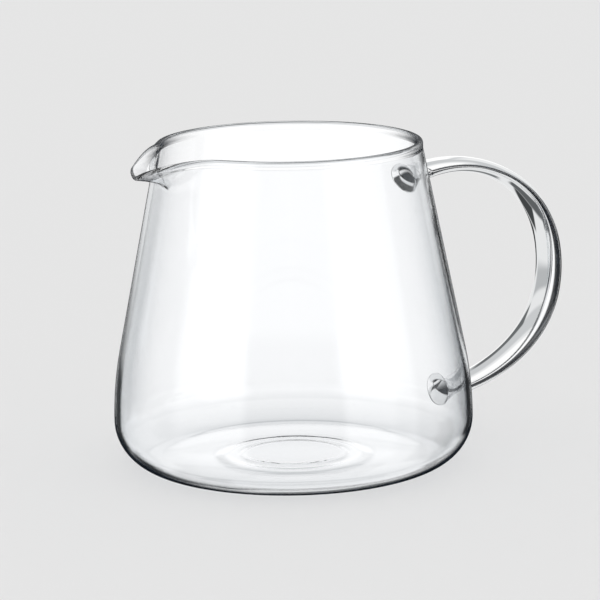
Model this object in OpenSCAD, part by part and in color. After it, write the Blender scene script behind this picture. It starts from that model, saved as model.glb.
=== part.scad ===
// Coffee server carafe: a blown glass jug with a pulled pouring spout, a pushed-up base
// and a flattened glass strap handle fused on at two places.
// The axis of the jug is Z, the table is z = 0, the spout points along -X and the handle along +X.

/* [Body] */
// Widest outside diameter, just above the heel
body_d = 120; // [100:1:150]
// Height from the table to the top of the rim
body_h = 108.5; // [90:0.5:150]
// Outside diameter of the rim
rim_d = 88.4; // [70:0.2:96]
// Outside radius of the heel, where the wall turns under
heel_r = 15.5; // [10:0.5:25]
// Radius of the long curve that leads from the heel into the straight wall
belly_r = 118; // [60:1:240]
// Thickness of the wall
wall_t = 1.5; // [1:0.1:3]
// Thickness of the base
base_t = 1.5; // [1.2:0.1:4]
// Thickness of the round, fire-polished rim
rim_bead_d = 2.2; // [1.6:0.1:4]

/* [Base] */
// Diameter of the pushed-up middle of the base
punt_d = 56; // [44:1:64]
// How far the middle is pushed up
punt_h = 0.8; // [0.5:0.1:4]
// Width of the sloping edge round the pushed-up middle
punt_edge_w = 7; // [2:0.5:9]
// Width of the flat band between that edge and the shallow ring inside it
ring_band_w = 2; // [1:0.5:6]
// Depth of that ring's step
ring_h = 0.3; // [0.1:0.1:1]
// Width of that ring's step
ring_edge_w = 3; // [1:0.5:6]

/* [Spout] */
// How far the tip of the lip stands out past the round rim
spout_reach = 14.4; // [10:0.2:22]
// How far the tip of the lip dips below the rim
spout_drop = 5.8; // [2:0.2:9]
// How far down the wall the pulled glass reaches
spout_depth = 15; // [13:0.5:25]
// Radius of the lip's tip, seen from above
spout_tip_r = 8; // [4:0.5:10]
// Angle between each side of the spout and its middle plane
spout_flank_angle = 41.6; // [36:0.2:44]
// Width of the dip in the lip, from side to side
spout_dip_w = 38; // [20:1:46]
// Thickness of the lip at the spout's tip
spout_lip_t = 1.4; // [1:0.1:3]
// How soft the crease is where the round rim turns into each side of the spout
spout_crease_w = 1.6; // [0.4:0.1:4]
// How round the bottom of the pouring channel is
spout_channel_w = 0.6; // [0.2:0.1:3]

/* [Handle] */
// Width of the glass strap
strap_w = 13.9; // [9:0.1:18]
// Thickness of the glass strap
strap_t = 5.1; // [4:0.1:7]
// How far the middle of the strap stands out from the widest part of the body
strap_out = 44.8; // [34:0.2:60]
// Angle above level at which the strap leaves the upper weld
strap_rise_angle = 21; // [0:1:35]
// How far the middle of the upper weld lies below the rim
upper_weld_drop = 17; // [13:0.5:28]
// Width of the upper weld where it meets the wall
upper_weld_w = 15.7; // [13:0.1:20]
// Height of the upper weld where it meets the wall
upper_weld_h = 10.2; // [7:0.1:14]
// Height of the middle of the lower weld above the table
lower_weld_z = 16.3; // [12:0.1:26]
// Width of the lower weld where it meets the wall
lower_weld_w = 13.9; // [13:0.1:20]
// Height of the lower weld where it meets the wall
lower_weld_h = 11.4; // [7:0.1:14]
// Length of each weld, from the wall to the plain strap
weld_len = 5; // [3:0.5:8]

/* [Hidden] */

// Counts that set how fine the curves are
turn_fn = 96;
heel_steps = 14;
belly_steps = 8;
base_steps = 6;
bulb_steps = 5;
cap_steps = 6;
spout_columns = 60;
spout_rows = 8;
strap_sides = 28;
strap_rings = 28;
weld_rings = 8;

// The spout's own glass is a little thinner where it runs into the round body: by how much,
// how far it runs in below and how far above the seam it gets its full thickness
seam_inset = 0.1;
seam_lap = 0.6;
seam_run = 0.4;

// Body values
body_r = body_d / 2;
lip_r = max(rim_bead_d, wall_t) / 2;
half_wall = wall_t / 2;
rim_mid_r = rim_d / 2 - lip_r;
rim_mid_z = body_h - lip_r;
heel_x = body_r - heel_r;
belly_x = body_r - belly_r;
belly_mid_r = belly_r - half_wall;
rim_far = norm([rim_mid_r - belly_x, rim_mid_z - heel_r]);
// Lean of the straight wall from upright: it touches the belly's curve and ends at the rim
wall_lean = atan2(rim_mid_z - heel_r, rim_mid_r - belly_x) - acos(belly_mid_r / rim_far);
punt_r = punt_d / 2;
ring_r = punt_r - punt_edge_w - ring_band_w;

// Spout values
bulb_len = 3 * lip_r;
spout_side_angle = 62;
// Angles that the same lap takes at each side of the spout, past the seam and before it
side_lap_angle = 1;
side_run_angle = 0.6;
tip_x = rim_mid_r + spout_reach - spout_tip_r;
flank_normal_angle = 90 - spout_flank_angle;
flank_far = tip_x * sin(spout_flank_angle) + spout_tip_r;
tip_angle = atan2(spout_tip_r * sin(flank_normal_angle),
                  tip_x + spout_tip_r * cos(flank_normal_angle));
// Powers with which the spout fades out down the wall, outwards and downwards
spout_out_power = 2.6;
spout_down_power = 1.5;
// Share of the columns' spacing that is even, the rest gathers towards the middle
even_share = 0.6;

// Handle values
strap_half_w = strap_w / 2;
strap_half_t = strap_t / 2;
strap_x = body_r + strap_out;
upper_weld_z = body_h - upper_weld_drop;
// Shares of the handle's own spans that bend its middle line
strap_mid_share = 0.52;
top_pull_share = 0.433;
shoulder_pull_share = 0.882;
knee_pull_share = 0.837;
foot_pull_share = 0.179;
// Step of the walk along the middle line, as a share of half the line
walk_share = 0.005;

// Helpers: hold a number between 0 and 1, step softly from 0 to 1, and go from a to b
function clamp01(t) = max(0, min(1, t));
function soft(t) = (1 - cos(180 * clamp01(t))) / 2;
function mix(a, b, t) = a + (b - a) * t;

// Height of the underside of the base at radius r
function base_rise(r) = punt_h * soft((punt_r - r) / punt_edge_w)
                      + ring_h * soft((ring_r - r) / ring_edge_w);
function edge_stops(r, w) = [for (i = [0 : base_steps]) r - w * i / base_steps];
base_stops = concat(edge_stops(punt_r, punt_edge_w), edge_stops(ring_r, ring_edge_w), [0]);
function reversed(list) = [for (i = [len(list) - 1 : -1 : 0]) list[i]];

// Middle of the wall, measured s downwards from the top of the rim
function wall_mid(s) = [rim_mid_r, rim_mid_z] + (s - lip_r) * [sin(wall_lean), -cos(wall_lean)];
// Half of the glass's thickness there: it swells into the round rim
function wall_half(s) = mix(lip_r, half_wall, soft((s - lip_r) / (bulb_len - lip_r)));
wall_out = [cos(wall_lean), sin(wall_lean)];
bulb_stops = [for (i = [0 : bulb_steps]) mix(bulb_len, lip_r, i / bulb_steps)];
cap_angles = [for (i = [1 : cap_steps - 1]) 180 * i / cap_steps];

// Outside of the body from the table to the rim's middle
function outer_points() = concat(
    [for (i = [0 : heel_steps]) let (a = -90 + 90 * i / heel_steps)
        [heel_x, heel_r] + heel_r * [cos(a), sin(a)]],
    [for (i = [1 : belly_steps]) let (a = wall_lean * i / belly_steps)
        [belly_x, heel_r] + belly_r * [cos(a), sin(a)]],
    [for (s = bulb_stops) wall_mid(s) + wall_half(s) * wall_out]);
// Round top of the rim, from outside to inside
function cap_points() = [for (a = cap_angles)
    wall_mid(lip_r) + lip_r * (cos(a) * wall_out + sin(a) * [-wall_out[1], wall_out[0]])];
// Inside of the body from the rim's middle to the floor
function inner_points() = concat(
    [for (s = reversed(bulb_stops)) wall_mid(s) - wall_half(s) * wall_out],
    [for (i = [belly_steps : -1 : 1]) let (a = wall_lean * i / belly_steps)
        [belly_x, heel_r] + (belly_r - wall_t) * [cos(a), sin(a)]],
    [for (i = [0 : heel_steps]) let (a = -90 * i / heel_steps)
        [heel_x + (heel_r - wall_t) * cos(a), heel_r + (heel_r - base_t) * sin(a)]]);

module wall_section() {
    polygon(concat(
        [for (r = reversed(base_stops)) [r, base_rise(r)]],
        outer_points(), cap_points(), inner_points(),
        [for (r = base_stops) [r, base_t + base_rise(r)]]));
}

// The body's outer form with no hollow, to seat the welds on
module solid_body() {
    rotate_extrude($fn = turn_fn)
        polygon(concat([[0, 0]], outer_points(), [[0, rim_mid_z]]));
}

// Plan of the lip's middle line, at angle a from the middle of the spout
function tip_plan(a) = tip_x * cos(a) + sqrt(max(0, spout_tip_r ^ 2 - (tip_x * sin(a)) ^ 2));
function flank_plan(a) = flank_far / cos(flank_normal_angle - a);
function side_plan(a) = mix(flank_far, rim_mid_r - spout_crease_w,
    soft((a - flank_normal_angle) / (spout_side_angle - flank_normal_angle)));
function drawn_plan(a) = a < tip_angle ? tip_plan(a)
    : a < flank_normal_angle ? flank_plan(a) : side_plan(a);
// The lip follows the round rim or the drawn glass, whichever is farther out, with a soft crease
function soft_max(a, b, w) = max(a, b) + w / 4 * max(0, 1 - abs(a - b) / w) ^ 2;
function lip_plan(a) = soft_max(rim_mid_r, drawn_plan(a), spout_crease_w);
// Dip of the lip at angle a, greatest in the middle of the channel
function lip_dip(a) = let (
    across = norm([lip_plan(a) * sin(a), spout_channel_w]) - spout_channel_w)
    spout_drop * (1 - sin(90 * clamp01(2 * across / spout_dip_w)));
// Half of the lip's thickness at angle a, and of the glass s down from the lip's top
function lip_half(a) = mix(lip_r, spout_lip_t / 2, lip_dip(a) / spout_drop);
function glass_half(a, s) = mix(lip_half(a), half_wall, soft((s - lip_r) / (bulb_len - lip_r)));

// Middle of the glass in the spout, at angle a and s down from the lip's top
function spout_mid(a, s) = let (
    f = abs(a),
    p = wall_mid(s),
    u = clamp01((spout_depth - s) / (spout_depth - lip_r)),
    r = p[0] + (lip_plan(f) - rim_mid_r) * u ^ spout_out_power,
    z = p[1] - lip_dip(f) * u ^ spout_down_power
) [-r * cos(a), r * sin(a), z];
// Directions along and across the glass, from two nearby points
tiny_angle = 0.05;
tiny_share = 0.002;
function unit(v) = v / norm(v);
function spout_down(a, s) = unit(spout_mid(a, s + tiny_share * spout_depth) - spout_mid(a, s));
function spout_along(a, s) = unit(spout_mid(a + tiny_angle, s) - spout_mid(a - tiny_angle, s));
function spout_out(a, s) = unit(cross(spout_down(a, s), spout_along(a, s)));

spout_stops = concat([spout_depth - seam_run],
    [for (i = [1 : spout_rows]) mix(spout_depth, bulb_len, i / spout_rows)]);
outer_stops = concat([spout_depth + seam_lap], spout_stops,
    [for (i = [1 : bulb_steps]) bulb_stops[i]]);
lap_angle = spout_side_angle - side_run_angle;
end_angle = spout_side_angle + side_lap_angle;
function column_angle(q) = (lap_angle - side_lap_angle)
    * (even_share * q + (1 - even_share) * q ^ 3);
column_angles = concat(
    [-end_angle, -lap_angle],
    [for (i = [0 : spout_columns]) column_angle(2 * i / spout_columns - 1)],
    [lap_angle, end_angle]);

// One closed section of the spout, thinner where it laps into the round body
function spout_section(a) = let (
    side_inset = abs(a) >= lap_angle ? seam_inset : 0,
    outs = [for (s = outer_stops) spout_out(a, s)],
    mids = [for (s = outer_stops) spout_mid(a, s)],
    halves = [for (s = outer_stops)
        glass_half(abs(a), s) - (s >= spout_depth - seam_run ? seam_inset : side_inset)],
    top = spout_mid(a, lip_r),
    top_out = spout_out(a, lip_r),
    top_up = -spout_down(a, lip_r)
) concat(
    [for (i = [0 : len(outer_stops) - 1]) mids[i] + halves[i] * outs[i]],
    [for (c = cap_angles) top
        + (lip_half(abs(a)) - side_inset) * (cos(c) * top_out + sin(c) * top_up)],
    [for (i = [len(outer_stops) - 1 : -1 : 0]) mids[i] - halves[i] * outs[i]]);

// Skin over a row of closed sections that have the same number of points
function skin_faces(rows, n) = [for (j = [0 : rows - 2], i = [0 : n - 1])
    let (k = (i + 1) % n)
    each [[j * n + i, j * n + k, (j + 1) * n + k], [j * n + i, (j + 1) * n + k, (j + 1) * n + i]]];
// Flat end of a section: a strip between its two long sides
function strip_faces(first, n, flip) = [for (i = [0 : floor((n - 1) / 2) - 1])
    let (a = first + i, b = a + 1, d = first + n - 1 - i, c = d - 1)
    each concat(b == c ? [] : [flip ? [a, c, b] : [a, b, c]], [flip ? [a, d, c] : [a, c, d]])];
module skin(sections) {
    n = len(sections[0]);
    rows = len(sections);
    polyhedron(
        points = [for (section = sections) each section],
        faces = concat(skin_faces(rows, n),
            strip_faces(0, n, true),
            strip_faces((rows - 1) * n, n, false)));
}

module spout_room() {
    far = body_r + spout_reach;
    side = [far * cos(spout_side_angle), far * sin(spout_side_angle)];
    translate([0, 0, wall_mid(spout_depth)[1]])
        linear_extrude(height = body_h)
            polygon([[0, 0], [-side[0], side[1]], [-far, side[1]],
                     [-far, -side[1]], [-side[0], -side[1]]]);
}

module vessel() {
    color([0.87, 0.93, 0.95, 0.45])
        union() {
            difference() {
                rotate_extrude($fn = turn_fn) wall_section();
                spout_room();
            }
            skin([for (a = column_angles) spout_section(a)]);
        }
}

// Outside radius of the body at height z
function outer_r(z) = let (
    bend_z = heel_r + belly_r * sin(wall_lean),
    bend_x = belly_x + belly_r * cos(wall_lean))
    z < heel_r ? heel_x + sqrt(heel_r ^ 2 - (heel_r - z) ^ 2)
    : z < bend_z ? belly_x + sqrt(belly_r ^ 2 - (z - heel_r) ^ 2)
    : bend_x - (z - bend_z) * tan(wall_lean);
// Lean of the outside at height z, up from level
function outer_lean(z) = z < heel_r ? -asin((heel_r - z) / heel_r)
    : min(wall_lean, asin((z - heel_r) / belly_r));

// Middle line of the strap, in the plane of the handle: an upper and a lower half
upper_root = [outer_r(upper_weld_z), upper_weld_z];
lower_root = [outer_r(lower_weld_z), lower_weld_z];
strap_mid_z = mix(lower_weld_z, upper_weld_z, strap_mid_share);
strap_mid = [strap_x, strap_mid_z];
upper_curve = [
    upper_root,
    upper_root + top_pull_share * (strap_x - upper_root[0])
        * [cos(strap_rise_angle), sin(strap_rise_angle)],
    strap_mid + [0, shoulder_pull_share * (upper_weld_z - strap_mid_z)],
    strap_mid];
lower_curve = [
    lower_root,
    lower_root + [foot_pull_share * (strap_x - lower_root[0]), 0],
    strap_mid - [0, knee_pull_share * (strap_mid_z - lower_weld_z)],
    strap_mid];
function on_curve(c, t) = (1 - t) ^ 3 * c[0] + 3 * t * (1 - t) ^ 2 * c[1]
    + 3 * t ^ 2 * (1 - t) * c[2] + t ^ 3 * c[3];
function along_curve(c, t) = unit((1 - t) ^ 2 * (c[1] - c[0]) + 2 * t * (1 - t) * (c[2] - c[1])
    + t ^ 2 * (c[3] - c[2]));
// Where on the curve a length measured from the wall ends
function walk(c, left, t = 0) = left <= 0 || t >= 1 ? t
    : walk(c, left - norm(on_curve(c, t + walk_share) - on_curve(c, t)), t + walk_share);

// Oval section of the strap at a point of the plane, square to a direction
function oval(mid, along, half_w, half_t) = [for (i = [0 : strap_sides - 1])
    let (a = -360 * (i + 0.5) / strap_sides, across = half_t * sin(a))
    [mid[0] - across * along[1], half_w * cos(a), mid[1] + across * along[0]]];
function curve_oval(c, t, sign) = oval(on_curve(c, t), sign * along_curve(c, t),
    strap_half_w, strap_half_t);

module handle() {
    t_up = walk(upper_curve, weld_len);
    t_low = walk(lower_curve, weld_len);
    color([0.85, 0.92, 0.95, 0.55])
        skin(concat(
            [for (i = [0 : strap_rings]) curve_oval(upper_curve, mix(t_up, 1, i / strap_rings), 1)],
            [for (i = [strap_rings - 1 : -1 : 0])
                curve_oval(lower_curve, mix(t_low, 1, i / strap_rings), -1)]));
}

// A weld flares from the strap's end to its oval foot on the wall, and is cut to the wall
function weld_oval(c, lean, half_w, half_h, s) = let (
    t = walk(c, s),
    v = clamp01(s / weld_len),
    flare = (1 - v) ^ 2,
    wall_dir = [cos(lean), sin(lean)],
    mid = s < 0 ? c[0] + s * wall_dir : on_curve(c, t))
    oval(mid, unit(mix(wall_dir, along_curve(c, t), v)),
        mix(strap_half_w, half_w, flare), mix(strap_half_t, half_h, flare));
module weld(c, lean, half_w, half_h) {
    sink = half_h / 2;
    difference() {
        skin(concat([weld_oval(c, lean, half_w, half_h, -sink)],
            [for (i = [0 : weld_rings]) weld_oval(c, lean, half_w, half_h, weld_len * i / weld_rings)]));
        solid_body();
    }
}

module upper_weld() {
    color([0.78, 0.88, 0.93, 0.7])
        weld(upper_curve, wall_lean, upper_weld_w / 2, upper_weld_h / 2);
}

module lower_weld() {
    color([0.78, 0.88, 0.93, 0.7])
        weld(lower_curve, outer_lean(lower_weld_z), lower_weld_w / 2, lower_weld_h / 2);
}

vessel();
handle();
upper_weld();
lower_weld();
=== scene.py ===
import math

import bpy
import numpy as np
from mathutils import Matrix, Vector


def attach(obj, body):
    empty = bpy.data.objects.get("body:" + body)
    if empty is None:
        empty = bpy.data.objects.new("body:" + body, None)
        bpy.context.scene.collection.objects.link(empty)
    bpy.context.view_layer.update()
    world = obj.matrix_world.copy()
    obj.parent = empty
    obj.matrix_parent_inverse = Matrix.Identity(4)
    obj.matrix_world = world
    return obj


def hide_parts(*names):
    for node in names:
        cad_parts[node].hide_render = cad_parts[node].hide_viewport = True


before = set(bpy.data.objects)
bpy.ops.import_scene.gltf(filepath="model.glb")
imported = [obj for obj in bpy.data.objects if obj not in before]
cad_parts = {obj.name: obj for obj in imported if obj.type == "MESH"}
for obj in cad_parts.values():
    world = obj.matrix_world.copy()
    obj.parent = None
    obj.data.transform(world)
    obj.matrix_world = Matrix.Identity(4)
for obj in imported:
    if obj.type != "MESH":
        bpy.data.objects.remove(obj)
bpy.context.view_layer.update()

# A blown glass coffee server with a pulled spout and a fused glass strap handle.
# The shapes repeat the formulas of the CAD pieces on a finer grid, in metres.
# The jug's axis is Z, the table is z = 0, the spout points along -X and the handle along +X.

MM = 0.001

# Body
BODY_R = 60 * MM
BODY_H = 108.5 * MM
RIM_R = 44.2 * MM
HEEL_R = 15.5 * MM
BELLY_R = 118 * MM
WALL_T = 1.5 * MM
BASE_T = 1.5 * MM
RIM_BEAD_D = 2.2 * MM

# Base
PUNT_R = 28 * MM
PUNT_H = 0.8 * MM
PUNT_EDGE_W = 7 * MM
RING_BAND_W = 2 * MM
RING_H = 0.3 * MM
RING_EDGE_W = 3 * MM

# Spout
SPOUT_REACH = 14.4 * MM
SPOUT_DROP = 5.8 * MM
SPOUT_DEPTH = 15 * MM
SPOUT_TIP_R = 8 * MM
SPOUT_FLANK = math.radians(41.6)
SPOUT_DIP_W = 38 * MM
SPOUT_LIP_T = 1.4 * MM
SPOUT_CREASE_W = 1.6 * MM
SPOUT_CHANNEL_W = 0.6 * MM
SPOUT_SIDE = math.radians(62)
SPOUT_OUT_POWER = 2.6
SPOUT_DOWN_POWER = 1.5

# Handle
STRAP_W = 13.9 * MM
STRAP_T = 5.1 * MM
STRAP_X = 104.8 * MM
STRAP_RISE = math.radians(21)
UPPER_WELD_Z = 91.5 * MM
UPPER_WELD_W = 15.7 * MM
UPPER_WELD_H = 10.2 * MM
LOWER_WELD_Z = 16.3 * MM
LOWER_WELD_W = 13.9 * MM
LOWER_WELD_H = 11.4 * MM
WELD_LEN = 5 * MM
STRAP_MID_SHARE = 0.52
TOP_PULL = 0.433
SHOULDER_PULL = 0.882
KNEE_PULL = 0.837
FOOT_PULL = 0.179

# The heel's painted edge shade is darkest below the first height and like the wall's above the second
HEEL_SHADE_LOW_Z = 3 * MM
HEEL_SHADE_Z = 24 * MM
# Gap between the hidden faces where two pieces are fused
SEAM_GAP = 0.01 * MM
# The meshes are this share of their formulas' size, so that they stay inside the CAD's facets
INSIDE_SHARE = 0.9996

# Columns of the body's grid: half the angle that the fine ones take at the spout and at the
# handle, and how many there are at the spout, on each side and at the handle
SPOUT_SPAN = math.radians(63)
HANDLE_SPAN = math.radians(12)
SPOUT_COLUMNS = 240
SIDE_COLUMNS = 100
HANDLE_COLUMNS = 72
# Rows of the grid on the wall: fine near the welds, coarse elsewhere
FINE_STEP = 0.35 * MM
COARSE_STEP = 1.6 * MM
FINE_MARGIN = 1 * MM
# Angle below level at which the heel's own rows end and the wall's begin
HEEL_TOP_ANGLE = 0.55
# Points round the strap; rings on each weld's foot and the share of its size where they start
RING_SIDES = 96
FOOT_RINGS = 12
FOOT_START_SHARE = 0.08
# Where a point counts as on the outside of the wall and as behind a weld
OUTSIDE_DEPTH = 0.3 * MM
BEHIND_LEVEL = 0.003
# Places of the materials in a piece's list, after its first one
SEAM_SLOT = 1
HEEL_SLOT = 2
RIM_SLOT = 3

# Values that follow from the sizes
LIP_R = RIM_BEAD_D / 2
HALF_WALL = WALL_T / 2
RIM_MID_R = RIM_R - LIP_R
RIM_MID_Z = BODY_H - LIP_R
HEEL_X = BODY_R - HEEL_R
BELLY_X = BODY_R - BELLY_R
RIM_FAR = math.hypot(RIM_MID_R - BELLY_X, RIM_MID_Z - HEEL_R)
LEAN = (math.atan2(RIM_MID_Z - HEEL_R, RIM_MID_R - BELLY_X)
        - math.acos((BELLY_R - HALF_WALL) / RIM_FAR))
BULB_LEN = 3 * LIP_R
BEND_Z = HEEL_R + BELLY_R * math.sin(LEAN)
BEND_X = BELLY_X + BELLY_R * math.cos(LEAN)


def soft(t):
    """A soft step from 0 to 1."""
    return (1 - np.cos(math.pi * np.clip(t, 0, 1))) / 2


def mix(a, b, t):
    return a + (b - a) * t


def unit(v):
    return v / np.linalg.norm(v, axis=-1, keepdims=True)


def base_rise(r):
    """Height of the underside of the base at radius r."""
    ring_r = PUNT_R - PUNT_EDGE_W - RING_BAND_W
    return (PUNT_H * soft((PUNT_R - r) / PUNT_EDGE_W)
            + RING_H * soft((ring_r - r) / RING_EDGE_W))


# Plan of the lip, at angle a from the middle of the spout
TIP_X = RIM_MID_R + SPOUT_REACH - SPOUT_TIP_R
FLANK_NORMAL = math.pi / 2 - SPOUT_FLANK
FLANK_FAR = TIP_X * math.sin(SPOUT_FLANK) + SPOUT_TIP_R
TIP_ANGLE = math.atan2(SPOUT_TIP_R * math.sin(FLANK_NORMAL),
                       TIP_X + SPOUT_TIP_R * math.cos(FLANK_NORMAL))


def lip_plan(a):
    tip = TIP_X * np.cos(a) + np.sqrt(np.maximum(0, SPOUT_TIP_R ** 2 - (TIP_X * np.sin(a)) ** 2))
    flank = FLANK_FAR / np.cos(np.minimum(FLANK_NORMAL, a) - FLANK_NORMAL)
    side = mix(FLANK_FAR, RIM_MID_R - SPOUT_CREASE_W,
               soft((a - FLANK_NORMAL) / (SPOUT_SIDE - FLANK_NORMAL)))
    drawn = np.where(a < TIP_ANGLE, tip, np.where(a < FLANK_NORMAL, flank, side))
    crease = np.maximum(0, 1 - np.abs(drawn - RIM_MID_R) / SPOUT_CREASE_W)
    return np.maximum(drawn, RIM_MID_R) + SPOUT_CREASE_W / 4 * crease ** 2


def lip_dip(a):
    across = lip_plan(a) * np.sin(np.minimum(a, math.pi / 2))
    across = np.hypot(across, SPOUT_CHANNEL_W) - SPOUT_CHANNEL_W
    return SPOUT_DROP * (1 - np.sin(math.pi / 2 * np.clip(2 * across / SPOUT_DIP_W, 0, 1)))


def glass_half(a, s):
    """Half of the glass's thickness, s below the rim: it swells into the round rim."""
    lip_half = mix(LIP_R, SPOUT_LIP_T / 2, lip_dip(np.abs(a)) / SPOUT_DROP)
    return mix(lip_half, HALF_WALL, soft((s - LIP_R) / (BULB_LEN - LIP_R)))[..., None]


def glass_mid(a, s):
    """Middle of the wall's glass at turn a from the spout and s below the top of the rim."""
    f = np.abs(a)
    u = np.clip((SPOUT_DEPTH - s) / (SPOUT_DEPTH - LIP_R), 0, 1)
    r = RIM_MID_R + (s - LIP_R) * math.sin(LEAN) + (lip_plan(f) - RIM_MID_R) * u ** SPOUT_OUT_POWER
    z = RIM_MID_Z - (s - LIP_R) * math.cos(LEAN) - lip_dip(f) * u ** SPOUT_DOWN_POWER
    return np.stack([-r * np.cos(a), r * np.sin(a), z + 0 * a], axis=-1)


def glass_frame(a, s):
    """Middle of the glass, the way out of it and the way up along it."""
    tiny_turn, tiny_run = math.radians(0.05), 0.002 * SPOUT_DEPTH
    mid = glass_mid(a, s)
    down = unit(glass_mid(a, s + tiny_run) - mid)
    along = unit(glass_mid(a + tiny_turn, s) - glass_mid(a - tiny_turn, s))
    return mid, unit(np.cross(along, down)), -down


def turned(a, r, z):
    """Points of a round form at turn a, radius r and height z."""
    return np.stack([-r * np.cos(a), r * np.sin(a), z + 0 * a], axis=-1)


# Columns of the grid round the jug: closest at the spout and where the handle is fused on
def turn_stops():
    side_from, side_to = SPOUT_SPAN, math.pi - HANDLE_SPAN
    back_from, back_to = math.pi + HANDLE_SPAN, 2 * math.pi - SPOUT_SPAN
    near = np.linspace(-SPOUT_SPAN, SPOUT_SPAN, SPOUT_COLUMNS, endpoint=False)
    side = np.linspace(side_from, side_to, SIDE_COLUMNS, endpoint=False)
    far = np.linspace(side_to, back_from, HANDLE_COLUMNS, endpoint=False)
    back = np.linspace(back_from, back_to, SIDE_COLUMNS, endpoint=False)
    stops = np.concatenate([near, side, far, back])
    return np.where(stops > math.pi, stops - 2 * math.pi, stops)


def heights(lowest, highest, *spans):
    """Heights from lowest to highest, in fine steps inside each span and coarse ones outside."""
    stops, z = [lowest], lowest
    while z < highest:
        fine = any(lo - FINE_MARGIN < z < hi + FINE_MARGIN for lo, hi in spans)
        z += FINE_STEP if fine else COARSE_STEP
        stops.append(min(z, highest))
    return np.array(stops)


def outer_r(z):
    """Outside radius of the body at height z, below the spout."""
    z = np.asarray(z, float)
    heel = HEEL_X + np.sqrt(np.maximum(0, HEEL_R ** 2 - (HEEL_R - np.minimum(z, HEEL_R)) ** 2))
    belly = BELLY_X + np.sqrt(BELLY_R ** 2 - (np.clip(z, HEEL_R, BEND_Z) - HEEL_R) ** 2)
    return np.where(z < HEEL_R, heel, np.where(z < BEND_Z, belly,
                                               BEND_X - (z - BEND_Z) * math.tan(LEAN)))


def outer_lean(z):
    if z < HEEL_R:
        return -math.asin((HEEL_R - z) / HEEL_R)
    return min(LEAN, math.asin(min(1, (z - HEEL_R) / BELLY_R)))


def inner_r(z):
    """Inside radius of the body at height z, between the inner heel and the spout."""
    radius = BELLY_R - WALL_T
    bend_z = HEEL_R + radius * math.sin(LEAN)
    bend_x = BELLY_X + radius * math.cos(LEAN)
    belly = BELLY_X + np.sqrt(radius ** 2 - (np.clip(z, HEEL_R, bend_z) - HEEL_R) ** 2)
    return np.where(z < bend_z, belly, bend_x - (z - bend_z) * math.tan(LEAN))


class Weld:
    """Where the strap meets the wall: its middle, the wall's lean there and its half sizes."""

    def __init__(self, z, width, height):
        self.lean = outer_lean(z)
        self.root = np.array([float(outer_r(z)), 0.0, z])
        self.out = np.array([math.cos(self.lean), 0.0, math.sin(self.lean)])
        self.up = np.array([-math.sin(self.lean), 0.0, math.cos(self.lean)])
        self.half = np.array([width / 2, height / 2])

    def level(self, points):
        """0 at the weld's foot outline, negative inside it; far points are well above 0."""
        away = points - self.root
        flat = np.stack([away[..., 1], away @ self.up], axis=-1)
        inside = np.linalg.norm(flat / self.half, axis=-1) - 1
        return np.where(points[..., 0] > 0, inside, 9.0)

    def on_wall(self, across, rise, gap=0.0):
        """The wall's point that lies straight behind a point of the weld's plane."""
        flat = self.root + rise[..., None] * self.up + across[..., None] * np.array([0, 1.0, 0])
        depth = np.zeros(across.shape)
        for _ in range(6):
            p = flat + depth[..., None] * self.out
            depth -= np.hypot(p[..., 0], p[..., 1]) - outer_r(p[..., 2]) - gap
        return flat + depth[..., None] * self.out


upper_weld = Weld(UPPER_WELD_Z, UPPER_WELD_W, UPPER_WELD_H)
lower_weld = Weld(LOWER_WELD_Z, LOWER_WELD_W, LOWER_WELD_H)


def snap_to_welds(points, spacing):
    """Moves the wall's points that lie nearly on a weld's outline onto it."""
    for weld in (upper_weld, lower_weld):
        level = weld.level(points)
        near = np.abs(level) * weld.half.min() < 0.5 * spacing
        away = points[near] - weld.root
        flat = np.stack([away[..., 1], away @ weld.up], axis=-1) / (1 + level[near])[..., None]
        points[near] = weld.on_wall(flat[..., 0], flat[..., 1])
    return points


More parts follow.
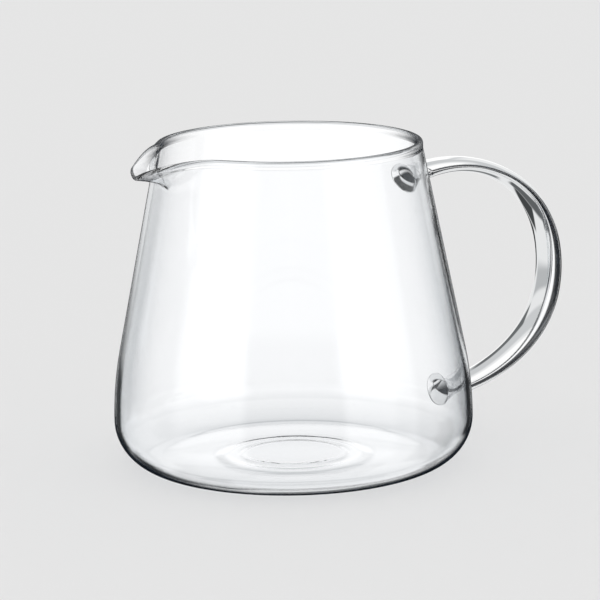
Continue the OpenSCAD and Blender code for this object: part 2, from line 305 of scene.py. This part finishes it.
def vessel_rows():
    """Rows of points round the jug, from the middle of its underside, over the rim, to the floor.
    With them come the first and last rows of the outside of the heel and of the round rim."""
    a = turn_stops()
    seam_z = RIM_MID_Z - (SPOUT_DEPTH - LIP_R) * math.cos(LEAN)
    spans = [(w.root[2] - w.half[1], w.root[2] + w.half[1]) for w in (upper_weld, lower_weld)]
    flats = np.concatenate([np.linspace(1 * MM, PUNT_R, 70), np.linspace(PUNT_R, HEEL_X, 14)[1:]])
    rows = [turned(a, r, base_rise(r)) for r in flats]
    parts = {"heel": [len(rows) - 1], "rim": []}
    for t in np.linspace(-math.pi / 2, -HEEL_TOP_ANGLE, 26)[1:]:
        rows.append(turned(a, HEEL_X + HEEL_R * math.cos(t), HEEL_R + HEEL_R * math.sin(t)))
    low = HEEL_R - HEEL_R * math.sin(HEEL_TOP_ANGLE)
    for z in heights(low, seam_z, *spans)[1:-1]:
        if z > HEEL_SHADE_Z and len(parts["heel"]) == 1:
            parts["heel"].append(len(rows))
        rows.append(snap_to_welds(turned(a, float(outer_r(z)), z), FINE_STEP))
    downs = np.concatenate([np.linspace(SPOUT_DEPTH, BULB_LEN, 34),
                            np.linspace(BULB_LEN, LIP_R, 12)[1:]])
    for s in downs:
        if s <= BULB_LEN and not parts["rim"]:
            parts["rim"].append(len(rows))
        mid, out, _ = glass_frame(a, s)
        rows.append(snap_to_welds(mid + glass_half(a, s) * out, FINE_STEP))
    top, out, up = glass_frame(a, LIP_R)
    for t in np.linspace(0, math.pi, 20)[1:-1]:
        rows.append(top + glass_half(a, LIP_R) * (math.cos(t) * out + math.sin(t) * up))
    for s in downs[::-1]:
        if s > BULB_LEN and len(parts["rim"]) == 1:
            parts["rim"].append(len(rows) - 1)
        mid, out, _ = glass_frame(a, s)
        rows.append(mid - glass_half(a, s) * out)
    low_in = float(seam_z - WALL_T * math.sin(LEAN))
    for z in np.linspace(low_in, HEEL_R, 60)[1:]:
        rows.append(turned(a, float(inner_r(z)), z))
    for t in np.linspace(0, -math.pi / 2, 40)[1:]:
        rows.append(turned(a, HEEL_X + (HEEL_R - WALL_T) * math.cos(t),
                           HEEL_R + (HEEL_R - BASE_T) * math.sin(t)))
    rows += [turned(a, r, BASE_T + base_rise(r)) for r in flats[::-1][1:]]
    return rows, parts


def closed_mesh(name, rings, first_mid, last_mid, seam_ends=(False, False)):
    """A closed mesh over rings of points, with a fan at each end; a seam end shows the seam's material."""
    n, count = len(rings[0]), len(rings)
    points = np.concatenate([*rings, [first_mid, last_mid]]) * INSIDE_SHARE
    faces, seams = [], []
    for j in range(count - 1):
        for i in range(n):
            k = (i + 1) % n
            faces.append((j * n + i, (j + 1) * n + i, (j + 1) * n + k, j * n + k))
    for i in range(n):
        k = (i + 1) % n
        faces.append((count * n, i, k))
        seams.append(len(faces) - 1 if seam_ends[0] else -1)
        last = (count - 1) * n
        faces.append((count * n + 1, last + k, last + i))
        seams.append(len(faces) - 1 if seam_ends[1] else -1)
    mesh = bpy.data.meshes.new(name)
    mesh.from_pydata(points.tolist(), [], faces)
    mesh.polygons.foreach_set("use_smooth", [True] * len(faces))
    for f in seams:
        if f >= 0:
            mesh.polygons[f].material_index = SEAM_SLOT
            mesh.polygons[f].use_smooth = False
    mesh.update()
    piece = bpy.data.objects.new(name, mesh)
    bpy.context.scene.collection.objects.link(piece)
    return piece


def mark_rows(piece, first, last, slot):
    """Gives the faces between two rows of the grid another material."""
    n = len(turn_stops())
    for f in range(first * n, last * n):
        piece.data.polygons[f].material_index = slot


def mark_weld_faces(piece):
    """Gives the wall's faces behind the welds the material of the fused seams."""
    mesh = piece.data
    points = np.empty(len(mesh.vertices) * 3)
    mesh.vertices.foreach_get("co", points)
    points = points.reshape(-1, 3)
    outside = np.hypot(points[:, 0], points[:, 1]) > outer_r(points[:, 2]) - OUTSIDE_DEPTH
    for weld in (upper_weld, lower_weld):
        inside = (weld.level(points) < BEHIND_LEVEL) & outside
        for f in mesh.polygons:
            if all(inside[v] for v in f.vertices):
                f.material_index = SEAM_SLOT


# Middle line of the strap, in the plane y = 0
def strap_curves():
    mid = np.array([STRAP_X, mix(LOWER_WELD_Z, UPPER_WELD_Z, STRAP_MID_SHARE)])
    top = upper_weld.root[[0, 2]]
    low = lower_weld.root[[0, 2]]
    rise = np.array([math.cos(STRAP_RISE), math.sin(STRAP_RISE)])
    upper = [top, top + TOP_PULL * (STRAP_X - top[0]) * rise,
             mid + np.array([0, SHOULDER_PULL * (UPPER_WELD_Z - mid[1])]), mid]
    lower = [low, low + np.array([FOOT_PULL * (STRAP_X - low[0]), 0]),
             mid - np.array([0, KNEE_PULL * (mid[1] - LOWER_WELD_Z)]), mid]
    return upper, lower


def on_curve(c, t):
    """Point of a curve with four control points, at t from 0 to 1."""
    return ((1 - t) ** 3 * c[0] + 3 * t * (1 - t) ** 2 * c[1]
            + 3 * t * t * (1 - t) * c[2] + t ** 3 * c[3])


def along_curve(c, t):
    """Direction of that curve at t."""
    return unit((1 - t) ** 2 * (c[1] - c[0]) + 2 * t * (1 - t) * (c[2] - c[1])
                + t * t * (c[3] - c[2]))


def walk(c, length):
    """Where on the curve a length measured from the wall ends."""
    t = np.linspace(0, 1, 4001)
    points = np.array([on_curve(c, v) for v in t])
    run = np.concatenate([[0], np.cumsum(np.linalg.norm(np.diff(points, axis=0), axis=1))])
    return float(np.interp(length, run, t))


def oval(mid, along, half_w, half_t):
    """Oval ring of the strap, square to a direction of the plane y = 0."""
    t = -2 * math.pi * (np.arange(RING_SIDES) + 0.5) / RING_SIDES
    across = half_t * np.sin(t)
    return np.stack([mid[0] - across * along[1], half_w * np.cos(t), mid[1] + across * along[0]],
                    axis=-1)


def make_handle():
    upper, lower = strap_curves()
    up_from, low_from = walk(upper, WELD_LEN), walk(lower, WELD_LEN)
    rings = [oval(on_curve(upper, t), along_curve(upper, t), STRAP_W / 2, STRAP_T / 2)
             for t in np.linspace(up_from, 1, 110)]
    rings += [oval(on_curve(lower, t), -along_curve(lower, t), STRAP_W / 2, STRAP_T / 2)
              for t in np.linspace(1, low_from, 110)[1:]]
    return closed_mesh("strap_handle", rings[::-1], rings[-1].mean(axis=0), rings[0].mean(axis=0),
                       (True, True))


def make_weld(name, weld, curve):
    """A weld flares from the strap's end to its oval foot on the wall."""
    t = 2 * math.pi * (np.arange(RING_SIDES) + 0.5) / RING_SIDES
    rings = []
    for share in np.linspace(FOOT_START_SHARE, 1, FOOT_RINGS):
        rings.append(weld.on_wall(share * weld.half[0] * np.cos(-t),
                                  share * weld.half[1] * np.sin(-t), SEAM_GAP))
    wall_dir = weld.out[[0, 2]]
    for s in np.linspace(0, WELD_LEN - SEAM_GAP, 26):
        v = s / WELD_LEN
        flare = (1 - v) ** 2
        at = walk(curve, s)
        along = unit(mix(wall_dir, along_curve(curve, at), v))
        rings.append(oval(on_curve(curve, at), along, mix(STRAP_W / 2, weld.half[0], flare),
                          mix(STRAP_T / 2, weld.half[1], flare)))
    piece = closed_mesh(name, rings[::-1], rings[-1].mean(axis=0), rings[0].mean(axis=0),
                        (True, True))
    foot = FOOT_RINGS * RING_SIDES
    total = len(rings) * RING_SIDES
    for f in piece.data.polygons:
        if all(total - v <= foot or v >= total for v in f.vertices):
            f.material_index = SEAM_SLOT
            f.use_smooth = False
    return piece


# Materials
def math_node(tree, operation, a, b=None):
    """A sum on one or two numbers or links."""
    made = tree.nodes.new("ShaderNodeMath")
    made.operation = operation
    for i, value in enumerate((a, b)):
        if value is None:
            continue
        if isinstance(value, (int, float)):
            made.inputs[i].default_value = value
        else:
            tree.links.new(value, made.inputs[i])
    return made.outputs[0]


GLASS_IOR = 1.473
GLASS_TINT = (0.988, 0.993, 1.0)
# Colour of the painted shade laid on the glass's edges at glancing angles
EDGE_SHADE_COLOUR = (0.012, 0.016, 0.022)
# Painted shade in the colour of the upright wall: a deeper colour at glancing angles that stands in
# for the dark studio seen through the glass there. The colour deepens to it between two glancing
# angles, each as 1 less the cosine, and sets in between the two heights that follow.
WALL_SHADE_TINT = (0.70, 0.73, 0.755)
WALL_SHADE_START = 0.36
WALL_SHADE_FULL = 0.85
WALL_SHADE_LOW_Z = 3 * MM
WALL_SHADE_HIGH_Z = 14 * MM
# From this height up it fades again, to this share at the rim
WALL_SHADE_FADE_Z = 45 * MM
WALL_SHADE_TOP_SHARE = 0.4


def edge_shade(tree, start, full, most):
    """How much painted shade is laid on the edge: it sets in where the glass is met at a glancing angle
    from outside. Start, full and most may each be a number or a link."""
    layer = tree.nodes.new("ShaderNodeLayerWeight")
    layer.inputs["Blend"].default_value = 0.5
    fade = tree.nodes.new("ShaderNodeMapRange")
    fade.interpolation_type = "SMOOTHSTEP"
    tree.links.new(layer.outputs["Facing"], fade.inputs["Value"])
    for name, value in (("From Min", start), ("From Max", full), ("To Max", most)):
        if isinstance(value, (int, float)):
            fade.inputs[name].default_value = value
        else:
            tree.links.new(value, fade.inputs[name])
    side = tree.nodes.new("ShaderNodeNewGeometry")
    outside = math_node(tree, "SUBTRACT", 1.0, side.outputs["Backfacing"])
    return math_node(tree, "MULTIPLY", fade.outputs["Result"], outside)


def soft_change(tree, value, low, high, at_low, at_high):
    """Goes softly from one number to another while a value goes from low to high."""
    made = tree.nodes.new("ShaderNodeMapRange")
    made.interpolation_type = "SMOOTHSTEP"
    tree.links.new(value, made.inputs["Value"])
    for name, number in (("From Min", low), ("From Max", high),
                         ("To Min", at_low), ("To Max", at_high)):
        made.inputs[name].default_value = number
    return made.outputs["Result"]


def wall_shade_colour(tree, height):
    """Colour of the wall's glass with painted shade: deeper where it is met at a glancing angle."""
    layer = tree.nodes.new("ShaderNodeLayerWeight")
    layer.inputs["Blend"].default_value = 0.5
    glancing = soft_change(tree, layer.outputs["Facing"], WALL_SHADE_START, WALL_SHADE_FULL, 0.0, 1.0)
    upright = soft_change(tree, height, WALL_SHADE_LOW_Z, WALL_SHADE_HIGH_Z, 0.0, 1.0)
    lower = soft_change(tree, height, WALL_SHADE_FADE_Z, BODY_H, 1.0, WALL_SHADE_TOP_SHARE)
    share = math_node(tree, "MULTIPLY", math_node(tree, "MULTIPLY", glancing, upright), lower)
    return mix_node(tree, share, GLASS_TINT, WALL_SHADE_TINT)


def glass_material(name, waves, edge, heel_edge=None, upright=False):
    """Clear glass with faint waves in its surface and painted shade on its edges.
    Edge is where the painted dark edge starts and is full, and how dark it is; the heel's is stronger.
    Upright glass gets the wall's painted shade colour at glancing angles."""
    material = bpy.data.materials.new(name)
    material.use_nodes = True
    tree = material.node_tree
    tree.nodes.clear()
    out = tree.nodes.new("ShaderNodeOutputMaterial")
    shader = tree.nodes.new("ShaderNodeBsdfPrincipled")
    shader.inputs["Base Color"].default_value = (*GLASS_TINT, 1.0)
    shader.inputs["Roughness"].default_value = 0.0
    shader.inputs["IOR"].default_value = GLASS_IOR
    shader.inputs["Transmission Weight"].default_value = 1.0
    where = tree.nodes.new("ShaderNodeTexCoord")
    stretch, scale, depth = waves
    place = tree.nodes.new("ShaderNodeMapping")
    place.inputs["Scale"].default_value = stretch
    noise = tree.nodes.new("ShaderNodeTexNoise")
    noise.inputs["Scale"].default_value = scale
    noise.inputs["Detail"].default_value = 1.0
    bump = tree.nodes.new("ShaderNodeBump")
    bump.inputs["Strength"].default_value = 1.0
    bump.inputs["Distance"].default_value = depth
    tree.links.new(where.outputs["Object"], place.inputs["Vector"])
    tree.links.new(place.outputs[0], noise.inputs["Vector"])
    tree.links.new(noise.outputs[0], bump.inputs["Height"])
    tree.links.new(bump.outputs[0], shader.inputs["Normal"])
    start, full, most = edge
    split = tree.nodes.new("ShaderNodeSeparateXYZ")
    tree.links.new(where.outputs["Object"], split.inputs[0])
    # Upright glass gets the painted wall shade in its colour
    if upright:
        tree.links.new(wall_shade_colour(tree, split.outputs[2]), shader.inputs["Base Color"])
    if heel_edge:
        start, full, most = [
            soft_change(tree, split.outputs[2], HEEL_SHADE_LOW_Z, HEEL_SHADE_Z, at_heel, above)
            for at_heel, above in zip(heel_edge, edge)]
    # Painted shade: a near-black surface mixed into the glass at glancing angles
    dark = tree.nodes.new("ShaderNodeBsdfDiffuse")
    dark.inputs["Color"].default_value = (*EDGE_SHADE_COLOUR, 1.0)
    both = tree.nodes.new("ShaderNodeMixShader")
    tree.links.new(edge_shade(tree, start, full, most), both.inputs[0])
    tree.links.new(shader.outputs[0], both.inputs[1])
    tree.links.new(dark.outputs[0], both.inputs[2])
    tree.links.new(both.outputs[0], out.inputs["Surface"])
    return material


def seam_material():
    """Glass fused to glass has no surface between them, so light runs straight through."""
    material = bpy.data.materials.new("fused_seam")
    material.use_nodes = True
    tree = material.node_tree
    tree.nodes.clear()
    out = tree.nodes.new("ShaderNodeOutputMaterial")
    clear = tree.nodes.new("ShaderNodeBsdfTransparent")
    tree.links.new(clear.outputs[0], out.inputs["Surface"])
    return material


# Floor: the tone of its paper, its radius and the sides of its outline
PAPER = 0.787
FLOOR_R = 6.0
FLOOR_SIDES = 96

# The studio round the jug, which shows in the glass. Turns are in degrees to the left of the way
# the main camera looks, rises in degrees above level. Each panel is painted over the ones before.
VIEW_TURN = 58.9
ROOM = 0.8
# Name, from turn, to turn, from rise, to rise, brightness, width of the soft edge
PANELS = [
    ("ceiling", -180, 180, 52, 91, 1.0, 6),
    ("upper_wall", -180, 180, 10, 45, 0.6, 6),
    ("side_card_left", 44, 102, -10, 7, 0.48, 8),
    ("side_card_high", 32, 102, 7, 22, 0.8, 6),
    ("side_card_right", -94, -48, -40, 14, 0.1, 8),
    ("rear_lamp_left", 98, 151, -30, 38, 1.18, 16),
    ("rear_lamp_right", 211, 249, -30, 38, 1.25, 10),
    ("rear_card", 149, 213, -26, 10, 0.15, 8),
    ("low_card_left", 12, 130, -68, -46, 0.12, 6),
    ("low_card_rear", 80, 250, -62, -38, 0.15, 6),
    ("backdrop", -13, 13, -24, 12, 1.06, 5),
    ("backdrop_low", -13, 13, -18, -14, 0.92, 4),
    ("backdrop_side", -26, 26, -27, -16, 0.86, 6),
    ("backdrop_foot", -10, 3, -24, -17, 0.78, 4),
    ("table_line", -13, 13, -20, -19, 0.6, 0.9),
    ("lamp_above", -5, 6, 13, 26, 1.05, 3),
    ("upper_card_left", 8, 44, 9, 26, 0.15, 4),
    ("upper_card_right", -58, -8, 9, 30, 0.85, 4),
    ("flag_left", 13, 34, -24, -8, 0.05, 4),
    ("flag_low_left", 16, 46, -46, -26, 0.06, 4),
    ("flag_right", -78, -13, -20, -4, 0.03, 4),
    ("table_card", -17, 4, -48, -31, 0.2, 4),
    ("table_card_right", -17, -9, -36, -22, 0.04, 3),
]


def soft_span(tree, value, lowest, highest, edge, whole_turn=False):
    """1 between two values, 0 outside, with a soft edge; a whole turn wraps round."""
    away = math_node(tree, "SUBTRACT", value, (lowest + highest) / 2)
    if whole_turn:
        wrap = tree.nodes.new("ShaderNodeMath")
        wrap.operation = "WRAP"
        tree.links.new(away, wrap.inputs[0])
        wrap.inputs[1].default_value = 180
        wrap.inputs[2].default_value = -180
        away = wrap.outputs[0]
    fade = tree.nodes.new("ShaderNodeMapRange")
    fade.interpolation_type = "SMOOTHSTEP"
    tree.links.new(math_node(tree, "ABSOLUTE", away), fade.inputs["Value"])
    fade.inputs["From Min"].default_value = (highest - lowest - edge) / 2
    fade.inputs["From Max"].default_value = (highest - lowest + edge) / 2
    fade.inputs["To Min"].default_value = 1.0
    fade.inputs["To Max"].default_value = 0.0
    return fade.outputs["Result"]


def mix_node(tree, factor, a, b):
    """Mix of two colours, each given as numbers or a link, by a link."""
    made = tree.nodes.new("ShaderNodeMix")
    made.data_type = "RGBA"
    tree.links.new(factor, made.inputs["Factor"])
    for name, value in (("A", a), ("B", b)):
        if isinstance(value, tuple):
            made.inputs[name].default_value = (*value, 1.0)
        else:
            tree.links.new(value, made.inputs[name])
    return made.outputs["Result"]


# How much less red and green a black panel has than a white one
PANEL_LESS_RED = 0.10
PANEL_LESS_GREEN = 0.04


def panel_colour(level):
    """Dark panels are a little blue."""
    blue = 1 - min(1, level)
    return (level * (1 - PANEL_LESS_RED * blue), level * (1 - PANEL_LESS_GREEN * blue), level)


def make_world():
    """Even light on the floor, the paper's tone for the camera, and the panels in the glass."""
    world = bpy.data.worlds.new("studio")
    bpy.context.scene.world = world
    world.use_nodes = True
    tree = world.node_tree
    tree.nodes.clear()
    where = tree.nodes.new("ShaderNodeTexCoord")
    split = tree.nodes.new("ShaderNodeSeparateXYZ")
    tree.links.new(where.outputs["Generated"], split.inputs[0])
    degree = 180 / math.pi
    turn = math_node(tree, "ARCTAN2", split.outputs[1], split.outputs[0])
    turn = math_node(tree, "SUBTRACT", math_node(tree, "MULTIPLY", turn, degree), VIEW_TURN)
    rise = math_node(tree, "MULTIPLY", math_node(tree, "ARCSINE", split.outputs[2]), degree)
    room = tree.nodes.new("ShaderNodeRGB")
    room.outputs[0].default_value = (*panel_colour(ROOM), 1.0)
    pattern = room.outputs[0]
    for _, first, last, low, high, level, edge in PANELS:
        across = soft_span(tree, turn, first, last, edge, True)
        upwards = soft_span(tree, rise, low, high, edge)
        cover = math_node(tree, "MULTIPLY", across, upwards)
        pattern = mix_node(tree, cover, pattern, panel_colour(level))
    path = tree.nodes.new("ShaderNodeLightPath")
    through = math_node(tree, "MAXIMUM", path.outputs["Is Transmission Ray"],
                        path.outputs["Is Glossy Ray"])
    no_bounce = math_node(tree, "LESS_THAN", path.outputs["Diffuse Depth"], 0.5)
    through = math_node(tree, "MULTIPLY", through, no_bounce)
    plain = mix_node(tree, path.outputs["Is Camera Ray"], (1, 1, 1), (PAPER, PAPER, PAPER))
    seen = mix_node(tree, through, plain, pattern)
    back = tree.nodes.new("ShaderNodeBackground")
    out = tree.nodes.new("ShaderNodeOutputWorld")
    tree.links.new(seen, back.inputs["Color"])
    tree.links.new(back.outputs[0], out.inputs[0])


def make_floor():
    mesh = bpy.data.meshes.new("floor")
    t = 2 * math.pi * np.arange(FLOOR_SIDES) / FLOOR_SIDES
    points = np.stack([FLOOR_R * np.cos(t), FLOOR_R * np.sin(t), 0 * t], axis=-1)
    mesh.from_pydata(points.tolist(), [], [tuple(range(FLOOR_SIDES))])
    floor = bpy.data.objects.new("floor", mesh)
    bpy.context.scene.collection.objects.link(floor)
    material = bpy.data.materials.new("paper")
    material.use_nodes = True
    shader = material.node_tree.nodes["Principled BSDF"]
    shader.inputs["Base Color"].default_value = (PAPER, PAPER, PAPER, 1)
    shader.inputs["Roughness"].default_value = 1.0
    shader.inputs["Specular IOR Level"].default_value = 0.0
    mesh.materials.append(material)
    floor.visible_transmission = False
    floor.visible_glossy = False


# Camera, worked out from the outline in the photograph: 600 pixels across, middle at 300, 300
CAM_TURN = math.radians(-31.1)
CAM_PITCH = math.radians(11.75)
CAM_ROLL = math.radians(-0.95)
CAM_FAR = 1.1
CAM_FOCAL_PX = 3305
FRAME_PX = 600
SENSOR_MM = 36
CLIP_NEAR, CLIP_FAR = 0.05, 50
# The point that the camera looks at, from the middle of the foot
AIM_RIGHT = 2.79 * MM
AIM_UP = 54.7 * MM


def make_camera():
    data = bpy.data.cameras.new("camera")
    data.sensor_width = SENSOR_MM
    data.lens = CAM_FOCAL_PX / FRAME_PX * data.sensor_width
    data.clip_start, data.clip_end = CLIP_NEAR, CLIP_FAR
    camera = bpy.data.objects.new("camera", data)
    bpy.context.scene.collection.objects.link(camera)
    right = Vector((math.cos(CAM_TURN), math.sin(CAM_TURN), 0))
    back = Vector((math.sin(CAM_TURN) * math.cos(CAM_PITCH),
                   -math.cos(CAM_TURN) * math.cos(CAM_PITCH), math.sin(CAM_PITCH)))
    up = back.cross(right)
    rolled_right = math.cos(CAM_ROLL) * right + math.sin(CAM_ROLL) * up
    rolled_up = math.cos(CAM_ROLL) * up - math.sin(CAM_ROLL) * right
    aim = AIM_RIGHT * right + Vector((0, 0, AIM_UP))
    camera.matrix_world = Matrix.Translation(aim + CAM_FAR * back) @ Matrix(
        (rolled_right, rolled_up, back)).transposed().to_4x4()
    bpy.context.scene.camera = camera


# Where the painted dark edge shade starts and is full, as 1 less the cosine of the angle, and how dark it
# gets
WALL_EDGE = (0.84, 0.96, 0.95)
HEEL_EDGE = (0.58, 0.80, 1.0)
RIM_EDGE = (0.38, 0.93, 0.9)
STRAP_EDGE = (0.36, 0.62, 1.0)
WELD_EDGE = (0.62, 0.92, 0.95)
# Waves in the surface: how they are drawn out along X, Y and Z, how close they lie, their depth
WALL_WAVES = ((1.0, 1.0, 0.35), 90.0, 0.004 * MM)
STRAP_WAVES = ((1.0, 3.0, 1.0), 90.0, 0.01 * MM)
WELD_WAVES = ((1.0, 1.0, 1.0), 300.0, 0.02 * MM)


def make_object():
    seam = seam_material()
    blown = glass_material("blown_glass", WALL_WAVES, WALL_EDGE, upright=True)
    heel = glass_material("heel_glass", WALL_WAVES, WALL_EDGE, HEEL_EDGE, upright=True)
    rim = glass_material("rim_glass", WALL_WAVES, RIM_EDGE)
    drawn = glass_material("strap_glass", STRAP_WAVES, STRAP_EDGE)
    fused = glass_material("weld_glass", WELD_WAVES, WELD_EDGE)
    rows, parts = vessel_rows()
    vessel = closed_mesh("blown_vessel", rows, (0, 0, float(base_rise(0.0))),
                         (0, 0, BASE_T + float(base_rise(0.0))))
    mark_rows(vessel, *parts["heel"], HEEL_SLOT)
    mark_rows(vessel, *parts["rim"], RIM_SLOT)
    mark_weld_faces(vessel)
    upper, lower = strap_curves()
    pieces = [
        (vessel, (blown, seam, heel, rim), "vessel", "blown_glass"),
        (make_handle(), (drawn, seam), "handle", "strap_glass"),
        (make_weld("fused_weld_upper", upper_weld, upper), (fused, seam),
         "upper_weld", "weld_glass"),
        (make_weld("fused_weld_lower", lower_weld, lower), (fused, seam),
         "lower_weld", "weld_glass"),
    ]
    for piece, materials, cad_node, slot in pieces:
        for material in materials:
            piece.data.materials.append(material)
        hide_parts(cad_node)
        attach(piece, "root")


make_camera()
make_object()
make_floor()
make_world()

# Light crosses many walls of glass and many fused seams before it leaves the jug
GLASS_BOUNCES = 96
SEAM_BOUNCES = 64
scene = bpy.context.scene
scene.view_settings.view_transform = "Standard"
scene.cycles.max_bounces = GLASS_BOUNCES
scene.cycles.transmission_bounces = GLASS_BOUNCES
scene.cycles.glossy_bounces = GLASS_BOUNCES
scene.cycles.transparent_max_bounces = SEAM_BOUNCES
scene.cycles.blur_glossy = 0
